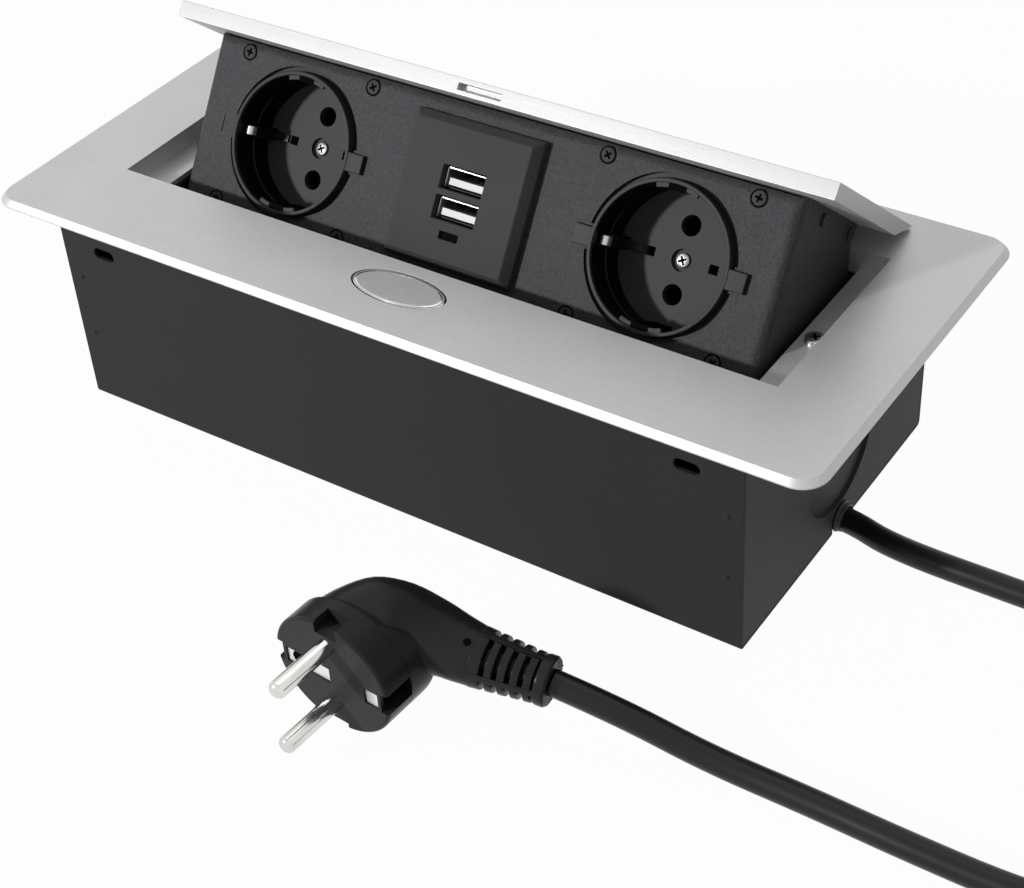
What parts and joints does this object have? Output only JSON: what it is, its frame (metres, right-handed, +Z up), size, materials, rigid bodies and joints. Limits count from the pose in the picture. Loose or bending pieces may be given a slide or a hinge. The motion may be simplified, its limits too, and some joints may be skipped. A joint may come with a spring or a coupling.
{
  "type": "recessed power strip",
  "caption": "Worktop power strip in a sunk steel box: a spring-lifted tilting module with earthed sockets and USB charging under an aluminium lid.",
  "frame": {"origin": "middle of the box's base, on the surface it stands on", "axes": "+X along the strip towards the cord's end, +Y to the back, away from the push button, +Z up"},
  "size_m": [0.424, 0.2059, 0.1069],
  "materials": {
    "satin_aluminium": "satin anodised",
    "charcoal_steel": "powder coated",
    "black_steel": "fine powder coat",
    "gloss_black": "moulded gloss",
    "matte_black": "moulded satin",
    "silver_button": "brushed",
    "zinc_steel": "zinc plated",
    "black_screws": "blackened",
    "nickel": "nickel plated",
    "contact_brass": "plain",
    "white_plastic": "moulded",
    "led_lens": "milky lens",
    "green_board": "solder mask",
    "cord_rubber": "matt jacket"
  },
  "bodies": {
    "housing": {"cover_frame": "satin_aluminium", "frame_screws": "zinc_steel", "housing_shell": "charcoal_steel", "end_plate_left": "charcoal_steel", "end_plate_right": "charcoal_steel", "knockout_disc_left": "charcoal_steel", "knockout_disc_right": "charcoal_steel", "pivot_pin_left": "zinc_steel", "pivot_pin_right": "zinc_steel", "lift_spring_left": "zinc_steel", "lift_spring_right": "zinc_steel", "button_guide": "matte_black", "button_spring": "zinc_steel", "cable_gland": "matte_black", "gland_lock_ring": "matte_black", "terminal_block": "white_plastic", "terminal_screws": "zinc_steel", "supply_cord": "cord_rubber", "cord_coil": "cord_rubber", "plug_cord": "cord_rubber", "plug_body": "matte_black", "plug_relief": "matte_black", "plug_pins": "nickel", "plug_earth_contacts": "nickel"},
    "module": {"module_shell": "black_steel", "rear_cover": "black_steel", "panel_screws": "black_screws", "lid": "satin_aluminium", "lid_bracket_left": "black_steel", "lid_bracket_right": "black_steel", "lid_screws": "black_screws", "pivot_bush_left": "matte_black", "pivot_bush_right": "matte_black", "socket_cup_left": "gloss_black", "socket_cup_right": "gloss_black", "socket_floor_left": "gloss_black", "socket_floor_right": "gloss_black", "contact_holders_left": "matte_black", "contact_holders_right": "matte_black", "pin_contacts_left": "contact_brass", "pin_contacts_right": "contact_brass", "earth_strap_left": "nickel", "earth_strap_right": "nickel", "socket_screws": "zinc_steel", "usb_cover": "matte_black", "usb_housing": "matte_black", "usb_board": "green_board", "usb_port_shells": "nickel", "usb_port_tongues": "white_plastic", "usb_led_window": "led_lens"},
    "button": {"push_button": "silver_button"},
    "latch": {"latch_bolt": "zinc_steel"}
  },
  "joints": [
    {"name": "module_tilt", "type": "hinge", "parent": "housing", "child": "module", "pos_m": [0, 0.0435, 0.0426], "axis": [1, 0, 0], "range_deg": [0, 39.9], "stiffness_Nm_per_rad": 0.6, "springref_deg": -68.75, "deforming": ["lift_spring_left", "lift_spring_right"]},
    {"name": "button_press", "type": "slide", "parent": "housing", "child": "button", "axis": [0, 0, -1], "range_m": [0, 0.002], "stiffness_N_per_m": 500, "springref_m": -0.002, "deforming": ["button_spring"]},
    {"name": "latch_slide", "type": "slide", "parent": "housing", "child": "latch", "axis": [0, -1, 0], "range_m": [0, 0.0015]}
  ],
  "couplings": [
    {"joint": "latch_slide", "follows": "button_press", "ratio": 0.75}
  ]
}
